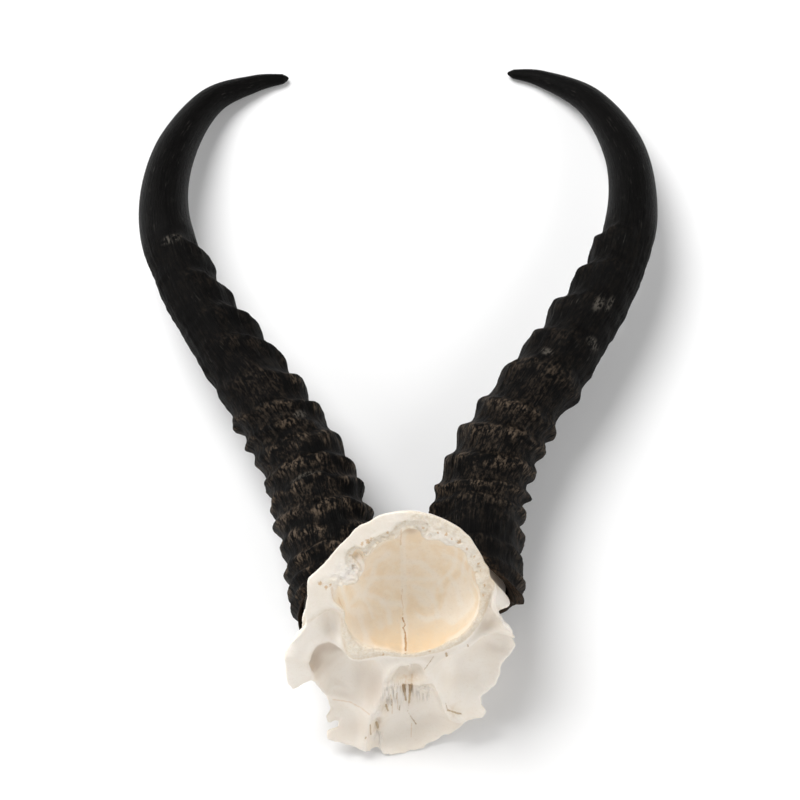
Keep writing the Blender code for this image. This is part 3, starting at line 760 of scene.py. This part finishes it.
def crumble(p, rough, crumbs):
    """How far broken bone is eaten away at points: pitted where cut, crystal-like in the sponge."""
    coarse = noise(p, 5.0, 3)
    middle = noise(p, 2.6, 5)
    fine = noise(p, 1.3, 8)
    pits = np.maximum(middle - 0.6, 0) * 0.7 + np.maximum(fine - 0.55, 0) * 0.5
    cut = rough * (0.14 * coarse + 0.12 * middle + 0.14 * fine + pits * (0.5 + 0.5 * step(p[:, 1], -15, 5)))
    grains = np.abs(noise(p, 1.0, 9))
    return cut + crumbs * (0.15 * middle - 0.30 + 0.20 * fine + 0.5 * grains)


def smooth_normals(verts, quads):
    """Normals of the whole surface, so that no seam shows where it is split into pieces."""
    p = verts[quads]
    flat = np.cross(p[:, 2] - p[:, 0], p[:, 3] - p[:, 1])
    total = np.zeros_like(verts)
    for i in range(4):
        np.add.at(total, quads[:, i], flat)
    total /= np.maximum(np.linalg.norm(total, axis=1, keepdims=True), 1e-9)
    return -total


def brain_folds(x, y, bend):
    """The brain's prints on the hollow's wall: low curved swells either side of the middle."""
    total = np.zeros_like(x)
    for cx, cy, period in ((8.0, 0.0, 5.6), (-3.0, -3.0, 6.4)):
        reach = np.sqrt(0.9 * (x - cx) ** 2 + 0.5 * (y - cy) ** 2) + 3.6 * bend
        side = step((x - 3.0) * np.sign(cx), 0.0, 4.0) * step(reach, 6.0, 13.0)
        total += 0.17 * side * np.cos(2 * np.pi * reach / period)
    total += 0.30 * np.exp(-((x - 0.1) / 1.1) ** 2)
    return total


def bone_values(verts, under, gx, gy):
    """What the bone's material reads at each point."""
    x, y, h = verts.T
    height, opening, natural, rim, sponge = (
        read_map(gx, gy, values, x, y)
        for values in (under.height, under.opening, under.natural, *under.rawness()))
    w = seen_height(y, h)
    brain = np.abs(ball(x, y, h, BRAIN_HOLLOW))
    lining = step(brain, 3.8, 1.4) * step(h, 0.8, 3.5) * step(opening, 3.2, 2.4)
    under_side = step(np.abs(h - height), 2.5, 1.0)
    raw = np.maximum(rim * under_side * step(h, 4, 2) * step(opening, -1.5, 0), sponge * under_side)
    shown = np.maximum(under_side, lining)
    spots = [np.sqrt((x - px) ** 2 + (w - pw) ** 2) - size for px, pw, size in PORES]
    tan = hills(x, w, TAN_PATCHES) * under_side + lining * hills(x, w, HOLLOW_LOW_TAN)
    tan += 0.9 * step(x, 30, 36) * step(y, -16, -6) * raw
    tissue = step(h, 10, 14) * step(y, 2, -6)
    # Painted shade: darker hills on the underside, and a darker crest on the undercut wall just inside the
    # left eye socket's rim.
    in_undercut = step(np.abs(ball(x, y, h, LEFT_UNDERCUT)), 1.6, 0.7)
    shade = hills(x, w, PAINTED_SHADES) * under_side + crest(x, w, LEFT_PAINTED_SHADE, 2.8) * in_undercut
    face = rim * under_side * step(h, 9, 5)
    eaten = crumble(verts, face, sponge * under_side)
    edge_of_rim = np.exp(-(natural / 0.8) ** 2) * step(y, 4, -6)
    edge_of_rim = np.maximum(edge_of_rim, np.exp(-(opening / 0.9) ** 2)) * step(h, 5, 3)
    return {
        "lining": lining,
        "raw": raw,
        "sponge": sponge * under_side,
        "warm": lining * step(w, -6, -24),
        "brown": near_lines(BROWN_LINES, x, w) + 4 * (1 - shown),
        "faint": near_lines(FAINT_LINES, x, w) + 4 * (1 - shown),
        "pores": np.min(spots, axis=0) + 4 * (1 - under_side),
        "tan": tan,
        "stripes": hills(x, w, STRIPED) * under_side,
        "tissue": tissue * hills(x, w, TISSUE),
        "greyed": tissue * hills(x, w, GREYED),
        "shade": shade,
        "notches": hills(x, w, NOTCH_PAINTED_SHADES) * (1 - under_side),
        "painted_highlight": near_lines(PAINTED_HIGHLIGHT_LINES, x, w) + 4 * (1 - lining),
        "folds": brain_folds(x, y, noise(verts, FOLD_BEND, FOLD_SEED)),
        "eaten": eaten,
        "rim_edge": edge_of_rim * under_side,
        "lower": np.maximum(step(np.abs(h - height), 5.0, 3.0), lining),
        "place": verts * 0.1,
        "seen": np.stack((x, w, 0 * x), -1) * 0.1,
    }


def near_lines(lines, x, w):
    """How far each point is outside the nearest line's own half width, as the photo sees it."""
    gaps = [line_distance(points, x, w) - half for half, points in lines]
    return np.min(gaps, axis=0)


def ridge_relief(s, angle, horn):
    """Height of the ridges in millimetres over a sheath's skin, and how near a crest it is."""
    inner = 0.5 - 0.5 * np.cos(angle)
    back = np.sin(angle)
    relief = np.zeros_like(s)
    top = np.zeros_like(s)
    lag = horn.lag
    middles = [at - np.interp(at, lag[:, 0], lag[:, 2]) / 2 for at in horn.ridges]
    count = len(horn.ridges)
    below = 0.33 + 0.11 * inner
    above = 0.25 - 0.05 * inner
    grow = horn.teeth + (INNER_TEETH - horn.teeth) * inner
    grow -= 1.1 * np.maximum(back, 0) * (1 - 0.4 * inner)
    for k, outside_at in enumerate(horn.ridges):
        face_at = outside_at - np.interp(outside_at, lag[:, 0], lag[:, 1])
        room = np.clip(middles[k] - middles[k - 1] if k else 0, *RIDGE_ROOM)
        shape = np.stack((np.cos(angle) * 2, np.sin(angle) * 2, np.full_like(s, k * 7.3)), -1)
        wide, narrow, sizes = (noise(shape.reshape(-1, 3), lump, horn.seed + i).reshape(s.shape)
                               for i, lump in enumerate((1.1, 0.5, 0.7)))
        line = middles[k] + (outside_at - middles[k]) * np.cos(angle) + 1.2 * wide + 0.6 * narrow
        line = line + (face_at - middles[k]) * back
        late = step(float(k), count - 6, count - 3)
        size = (1 + 0.28 * sizes) * (1 - late * step(inner, 0.70, 0.25))
        if outside_at == horn.faded:
            size = size * (1 - 0.8 * step(inner, 0.5, 1.0))
        u = (s - line) / room
        bump = size * np.exp(-np.abs(u / np.where(u < 0, below, above)) ** 1.9)
        relief += bump * grow
        top = np.maximum(top, bump)
    for column, low, high in ((1, 0.55, 1.0), (2, 0.40, 0.0)):
        relief += step(inner, low, high) * np.interp(s, horn.bulge[:, 0], horn.bulge[:, column])
    return relief - VALLEY, top


def tube(rings, first, last):
    """Points and faces of a tube through closed rings of points, with both ends closed."""
    around = rings.shape[1]
    here = np.arange(rings.shape[0] * around).reshape(-1, around)
    beside = np.roll(here, -1, axis=1)
    start, end = np.full(around, here.size), np.full(around, here.size + 1)
    faces = np.stack((here[:-1], beside[:-1], beside[1:], here[1:]), -1).reshape(-1, 4).tolist()
    faces += np.stack((beside[0], here[0], start), 1).tolist()
    faces += np.stack((here[-1], beside[-1], end), 1).tolist()
    verts = np.vstack((rings.reshape(-1, 3), first[None], last[None]))
    if outward_sign(verts, faces) < 0:
        faces = [face[::-1] for face in faces]
    return verts, faces


def build_horn(horn):
    """A sheath: its ridged skin from the lip to the tip, and the seat inside that takes the stump."""
    axis = Axis(horn.axis)
    around, along = SKIN_POINTS
    angle = 2 * np.pi * np.arange(around) / around
    even = np.linspace(0, 1, along) ** 0.92
    ring = np.stack((np.cos(angle), np.sin(angle), 0 * angle), -1)
    lip = rim_distance(horn.rim, angle) + 0.8 * noise(ring, 0.35, horn.seed)
    s = lip[None] + (axis.length - 0.4 - lip[None]) * even[:, None]
    a = np.repeat(angle[None], along, 0)

    def loop(at, width, depth):
        """Points of the cross sections at the given distances."""
        centre, side, deep = axis.section(at)
        across = (horn.outward * np.cos(angle) * width)[..., None]
        return centre + side * across + deep * (np.sin(angle) * depth)[..., None]

    relief, top = ridge_relief(s, a, horn)
    worn = horn.worn * step(s, 62, 46) * step(np.sin(a), 0.1, 0.7)
    last = horn.ridges[-1] - horn.lag[-1, 2]
    fade = step(s, last + 22, last + 4)
    width, depth = sheath_size(s)
    flat = np.stack((np.cos(a) * width, np.sin(a) * depth, s), -1).reshape(-1, 3)
    lumps = layered(flat * (1, 1, 0.6), 6.0, horn.seed + 9).reshape(s.shape)
    wrinkle = noise(flat * (0.25, 0.25, 1), 2.6, horn.seed + 13).reshape(s.shape)
    grain = noise(flat * (1, 1, 0.06), 1.25, horn.seed + 11).reshape(s.shape)
    relief = relief * (1 - 0.5 * worn) * fade
    relief += fade * (0.45 * lumps + 0.22 * wrinkle) + 0.14 * grain * (0.3 + 0.7 * fade)
    tip = np.sqrt(np.clip((axis.length - s) / 3.0, 0, 1))
    skin = loop(s, (width + relief) * tip, (depth + relief) * tip)
    seat = []
    for part in np.linspace(1, 0, SEAT_ROWS + 1):
        at = lip + (SEAT_END - lip) * part
        inset = SHEATH_WALL * step(part, -0.02, 0.12) + SEAT_TAPER * part
        seat.append(loop(at, *(size - inset for size in sheath_size(at))))
    verts, faces = tube(np.concatenate((seat, skin)), axis.at(SEAT_END + 1), axis.at(axis.length))
    piece = mesh_piece(horn.side + "_sheath", verts, faces, horn.side + "_horn")
    scuff = hills(s, np.degrees(a), [(1, *place) for place in horn.scuffs])
    near_lip = np.exp(-np.maximum(s - lip[None], 0) / 1.8)
    low_part = step(s, 190, 50) * (1 - 0.85 * worn)
    before = (SEAT_ROWS + 1) * around
    for name, skin_values, elsewhere in (
            ("crest", top * fade, 0), ("ridged", fade, 1), ("scuff", scuff, 0),
            ("low_part", low_part, 1), ("near_lip", near_lip, 1)):
        values = np.full(len(verts), float(elsewhere))
        values[before:-2] = skin_values.ravel()
        store(piece, name, values)
    grain_at = np.zeros((len(verts), 3))
    grain_at[before:-2] = flat * 0.1
    store(piece, "grain", grain_at)
    piece.data.materials.append(horn_material(horn.side + "_horn_skin", horn.patches))


class Nodes:
    """Short names for building a material's nodes."""

    def __init__(self, name):
        self.material = bpy.data.materials.new(name)
        self.material.use_nodes = True
        self.tree = self.material.node_tree
        self.tree.nodes.clear()
        self.shader = self.node("BsdfPrincipled")
        out = self.node("OutputMaterial")
        self.tree.links.new(self.shader.outputs[0], out.inputs[0])

    def set(self, socket, value):
        if isinstance(value, bpy.types.NodeSocket):
            self.tree.links.new(value, socket)
        elif isinstance(value, tuple) and len(value) == 3 and socket.type == "RGBA":
            socket.default_value = (*value, 1.0)
        else:
            socket.default_value = value

    def node(self, kind, sockets=(), **settings):
        """A new node with its settings, and with its inputs set or linked by name or number."""
        node = self.tree.nodes.new("ShaderNode" + kind)
        for name, value in settings.items():
            setattr(node, name, value)
        for socket, value in dict(sockets).items():
            self.set(node.inputs[socket], value)
        return node

    def stored(self, name, vector=False):
        return self.node("Attribute", attribute_name=name).outputs["Vector" if vector else "Fac"]

    def noise(self, at, scale, detail=3.0, roughness=0.5, stretch=None):
        if stretch:
            at = self.node("Mapping", {"Vector": at, "Scale": stretch}).outputs[0]
        return self.node("TexNoise", {"Vector": at, "Scale": scale, "Detail": detail,
                                      "Roughness": roughness}).outputs[0]

    def cells(self, at, scale):
        node = self.node("TexVoronoi", {"Vector": at, "Scale": scale}, feature="SMOOTH_F1")
        return node.outputs["Distance"]

    def ramp(self, value, low, high, out_low=0.0, out_high=1.0):
        values = enumerate((value, low, high, out_low, out_high))
        return self.node("MapRange", values, interpolation_type="SMOOTHSTEP").outputs[0]

    def math(self, kind, a, b):
        return self.node("Math", {0: a, 1: b}, operation=kind).outputs[0]

    def times(self, a, b):
        return self.math("MULTIPLY", a, b)

    def plus(self, a, b):
        return self.math("ADD", a, b)

    def sway(self, at, scale, reach):
        """Noise to either side of zero."""
        return self.times(self.math("SUBTRACT", self.noise(at, scale, 3), 0.5), reach)

    def mix(self, fac, a, b):
        return self.node("Mix", {0: fac, 6: a, 7: b}, data_type="RGBA").outputs[2]

    def over(self, colour, fac, strength, paint):
        """The colour with paint laid over it."""
        return self.mix(self.times(fac, strength), colour, paint)

    def bump(self, height, distance, strength, under=None):
        node = self.node("Bump", {"Strength": strength, "Distance": distance, "Height": height})
        if under is not None:
            self.set(node.inputs["Normal"], under)
        return node.outputs[0]

    def look(self, **inputs):
        """Sets or links the shader's inputs, named with _ for each space."""
        for name, value in inputs.items():
            self.set(self.shader.inputs[name.replace("_", " ")], value)


def bone_material():
    n = Nodes("dry_bone")
    at, seen = n.stored("place", vector=True), n.stored("seen", vector=True)
    lining, raw, sponge, folds = (n.stored(name) for name in ("lining", "raw", "sponge", "folds"))
    outer = n.mix(n.ramp(n.noise(at, 0.7, 4), 0.35, 0.68), (0.90, 0.84, 0.76), (0.86, 0.785, 0.69))
    streaks = n.ramp(n.noise(at, 1.5, 5, 0.6), 0.40, 0.66)
    inner = n.mix(streaks, (0.97, 0.865, 0.72), (0.93, 0.79, 0.61))
    inner = n.mix(n.stored("warm"), inner, (0.87, 0.67, 0.44))
    # Painted highlight on the brain folds' crests and painted shade in their valleys.
    inner = n.mix(n.ramp(folds, -0.02, 0.17, 0.0, 0.55), inner, (0.97, 0.91, 0.82))
    inner = n.mix(n.ramp(folds, -0.03, -0.17, 0.0, 0.34), inner, (0.88, 0.75, 0.57))
    # Painted highlight: lighter curved lines on the brain hollow's wall.
    painted_highlight = n.ramp(n.plus(n.stored("painted_highlight"), n.sway(seen, 3.0, 1.6)), 1.7, 0.0)
    inner = n.over(inner, painted_highlight, 0.5, (0.97, 0.92, 0.84))
    # Painted shade in the brain hollow's notches, grey-brown.
    inner = n.over(inner, n.stored("notches"), 0.8, (0.60, 0.49, 0.37))
    colour = n.mix(lining, outer, inner)
    grit = n.ramp(n.noise(at, 10.0, 5, 0.7), 0.42, 0.62)
    cut = n.mix(grit, (0.88, 0.80, 0.68), (0.79, 0.68, 0.52))
    freckles = n.ramp(n.noise(at, 9.0, 5, 0.65), 0.50, 0.72, 0.0, 0.35)
    colour = n.mix(freckles, colour, (0.79, 0.70, 0.59))
    colour = n.over(colour, raw, 0.8, cut)
    colour = n.over(colour, sponge, 0.8, (0.94, 0.90, 0.85))
    bars = n.ramp(n.noise(seen, 11.0, 3, 0.5, stretch=(1.0, 0.12, 1.0)), 0.45, 0.60)
    bars = n.times(bars, n.stored("stripes"))
    colour = n.over(colour, bars, 0.6, (0.94, 0.91, 0.87))
    pitted = n.ramp(n.stored("eaten"), 0.10, 0.75, 0.0, 0.38)
    colour = n.over(colour, pitted, n.math("SUBTRACT", 1.0, sponge), (0.66, 0.49, 0.31))
    # Painted shade laid over the bone's colour, in and beside the eye sockets.
    colour = n.over(colour, n.stored("shade"), 0.7, (0.64, 0.545, 0.46))
    worn = n.plus(n.times(n.stored("tan"), 0.75), n.times(n.stored("rim_edge"), 0.45))
    blotch = n.ramp(n.noise(at, 4.0, 4, 0.6), 0.30, 0.66, 0.25, 1.0)
    colour = n.over(colour, worn, blotch, (0.70, 0.56, 0.40))
    jitter = n.sway(seen, 9.0, 0.6)
    faint = n.plus(n.stored("faint"), jitter)
    colour = n.mix(n.ramp(faint, 0.25, -0.05, 0.0, 0.40), colour, (0.66, 0.47, 0.29))
    pores = n.plus(n.stored("pores"), n.sway(seen, 14.0, 2.4))
    colour = n.mix(n.ramp(pores, 0.30, -0.20, 0.0, 0.75), colour, (0.62, 0.40, 0.20))
    stain = n.ramp(n.plus(n.stored("brown"), jitter), 0.16, -0.14)
    stained = n.mix(lining, (0.52, 0.38, 0.23), (0.56, 0.31, 0.12))
    colour = n.over(colour, stain, 0.85, stained)
    colour = n.over(colour, n.stored("greyed"), 0.7, (0.60, 0.47, 0.35))
    fuzz = n.plus(n.ramp(n.noise(at, 7.0, 5, 0.7), 0.42, 0.58), 0.35)
    colour = n.over(colour, n.stored("tissue"), fuzz, (0.20, 0.13, 0.075))
    n.look(Base_Color=colour, Roughness=n.ramp(n.noise(at, 6.0), 0.2, 0.8, 0.48, 0.7),
           Subsurface_Weight=0.06, Subsurface_Radius=(0.9, 0.6, 0.4), Subsurface_Scale=0.002,
           Specular_IOR_Level=0.3)
    rough = n.bump(n.noise(at, 12.0, 4, 0.6), 0.0002, 0.45)
    rough = n.bump(n.times(n.noise(at, 11.0, 5, 0.7), raw), 0.0008, 0.7, under=rough)
    rough = n.bump(n.times(n.cells(at, 7.0), sponge), 0.0010, 0.7, under=rough)
    rough = n.bump(bars, 0.0012, 0.8, under=rough)
    rough = n.bump(n.times(stain, -1.0), 0.0006, 0.5, under=rough)
    n.look(Normal=rough)
    return n.material


def horn_material(name, patches):
    n = Nodes(name)
    at = n.stored("grain", vector=True)
    top, ridged, low_part = n.stored("crest"), n.stored("ridged"), n.stored("low_part")
    streak = n.noise(at, 12.0, 5, 0.7, stretch=(1.0, 1.0, 0.06))
    speck = n.noise(at, 8.0, 5, 0.7, stretch=(1.0, 1.0, 0.5))
    grit = n.plus(n.times(streak, 0.3), n.times(speck, 0.7))
    patch = n.noise(at, 1.1 + 0.1 * patches, 5, 0.6)
    dust = n.ramp(patch, 0.43 - 0.03 * patches, 0.63 - 0.03 * patches)
    for part in (n.ramp(grit, 0.45, 0.60), n.ramp(top, 0.25, 0.95, 0.30, 1.0),
                 n.ramp(low_part, 0.0, 1.0, 0.10, 1.0)):
        dust = n.times(dust, part)
    colour = n.mix(n.ramp(streak, 0.35, 0.75), (0.0014, 0.0013, 0.0013), (0.0042, 0.0038, 0.0034))
    scratch = n.ramp(n.noise(at, 17.0, 3, 0.6, stretch=(1.0, 1.0, 0.05)), 0.58, 0.70)
    scratch = n.times(scratch, n.ramp(n.noise(at, 1.7, 3), 0.45, 0.65))
    colour = n.over(colour, scratch, 0.55, (0.048, 0.045, 0.040))
    colour = n.over(colour, dust, ridged, (0.115, 0.085, 0.060))
    scuff = n.times(n.ramp(n.stored("scuff"), 0.25, 0.9), n.ramp(grit, 0.46, 0.56))
    colour = n.over(colour, scuff, 0.42, (0.15, 0.135, 0.115))
    fuzz = n.ramp(n.noise(at, 8.0, 5, 0.7), 0.45, 0.62, 0.0, 0.6)
    colour = n.over(colour, n.stored("near_lip"), fuzz, (0.13, 0.08, 0.045))
    n.look(Base_Color=colour, Roughness=n.ramp(ridged, 0.0, 1.0, 0.44, 0.62), Specular_IOR_Level=0.05)
    n.look(Normal=n.bump(n.noise(at, 22.0, 4, 0.6, stretch=(1.0, 1.0, 0.06)), 0.0005, 0.7))
    return n.material


FLOOR_REACH = 3.0


def floor():
    mesh = bpy.data.meshes.new("floor")
    r = FLOOR_REACH
    mesh.from_pydata([(-r, -r, 0), (r, -r, 0), (r, r, 0), (-r, r, 0)], [], [(0, 1, 2, 3)])
    ground = bpy.data.objects.new("floor", mesh)
    bpy.context.scene.collection.objects.link(ground)
    n = Nodes("floor_white")
    n.look(Base_Color=(0.92, 0.92, 0.92), Roughness=0.9, Specular_IOR_Level=0.05)
    mesh.materials.append(n.material)


# Each light's place, size in metres and power.
LIGHTS = {
    "key": ((-0.8, 0.8, 1.9), 1.5, 47),
    "left_fill": ((-1.9, -0.6, 1.2), 1.6, 12),
    "right_fill": ((1.9, -0.1, 1.3), 1.6, 17),
    "front_fill": ((0.2, -1.9, 1.1), 1.8, 12),
}
LIGHTS_AIM = (0, -0.02, 0.05)
WORLD_STRENGTH = 0.2


def lights():
    for name, (at, size, power) in LIGHTS.items():
        data = bpy.data.lights.new(name, "AREA")
        data.shape = "DISK"
        data.size = size
        data.energy = power
        light = bpy.data.objects.new(name, data)
        light.location = at
        light.rotation_mode = "QUATERNION"
        light.rotation_quaternion = (Vector(LIGHTS_AIM) - Vector(at)).to_track_quat("-Z", "Y")
        bpy.context.scene.collection.objects.link(light)
    world = bpy.data.worlds.new("studio")
    bpy.context.scene.world = world
    world.use_nodes = True
    background = world.node_tree.nodes["Background"]
    background.inputs[0].default_value = (1, 1, 1, 1)
    background.inputs[1].default_value = WORLD_STRENGTH


# The photo's camera: how far it stands from the skull frame's origin, its tilt from the sawn
# face's normal, the width of field there, and where that origin falls in the picture.
CAMERA_AWAY = 1400.0
CAMERA_TILT = math.radians(35)
CAMERA_ROLL = math.radians(1.0)
FIELD_WIDTH = 336.0
ORIGIN_PIXEL = (403.5, 595.0)
PICTURE = 800.0
SENSOR_WIDTH = 36.0


def camera():
    back = Vector((0, math.sin(CAMERA_TILT), math.cos(CAMERA_TILT)))
    up = Vector((0, math.cos(CAMERA_TILT), -math.sin(CAMERA_TILT)))
    right = Vector((1, 0, 0))
    c, s = math.cos(CAMERA_ROLL), math.sin(CAMERA_ROLL)
    right, up = right * c - up * s, up * c + right * s
    pixel = FIELD_WIDTH / PICTURE
    middle = (right * ((PICTURE / 2 - ORIGIN_PIXEL[0]) * pixel)
              + up * ((ORIGIN_PIXEL[1] - PICTURE / 2) * pixel))
    place = back * CAMERA_AWAY
    back = (place - middle).normalized()
    right = up.cross(back).normalized()
    up = back.cross(right).normalized()
    turn = Matrix((right, up, back)).transposed().to_4x4()
    data = bpy.data.cameras.new("camera")
    data.sensor_width = SENSOR_WIDTH
    data.lens = SENSOR_WIDTH * CAMERA_AWAY / FIELD_WIDTH
    data.clip_start, data.clip_end = 0.05, 20
    cam = bpy.data.objects.new("camera", data)
    bpy.context.scene.collection.objects.link(cam)
    cam.matrix_world = to_row() @ Matrix.Translation(place * 0.001) @ turn
    bpy.context.scene.camera = cam


def picture_tones():
    view = bpy.context.scene.view_settings
    view.view_transform = "Standard"
    view.look = "None"
    view.exposure = 0.0


build_bone()
for horn in (LEFT_HORN, RIGHT_HORN):
    build_horn(horn)
floor()
lights()
camera()
picture_tones()

bpy.context.view_layer.update()
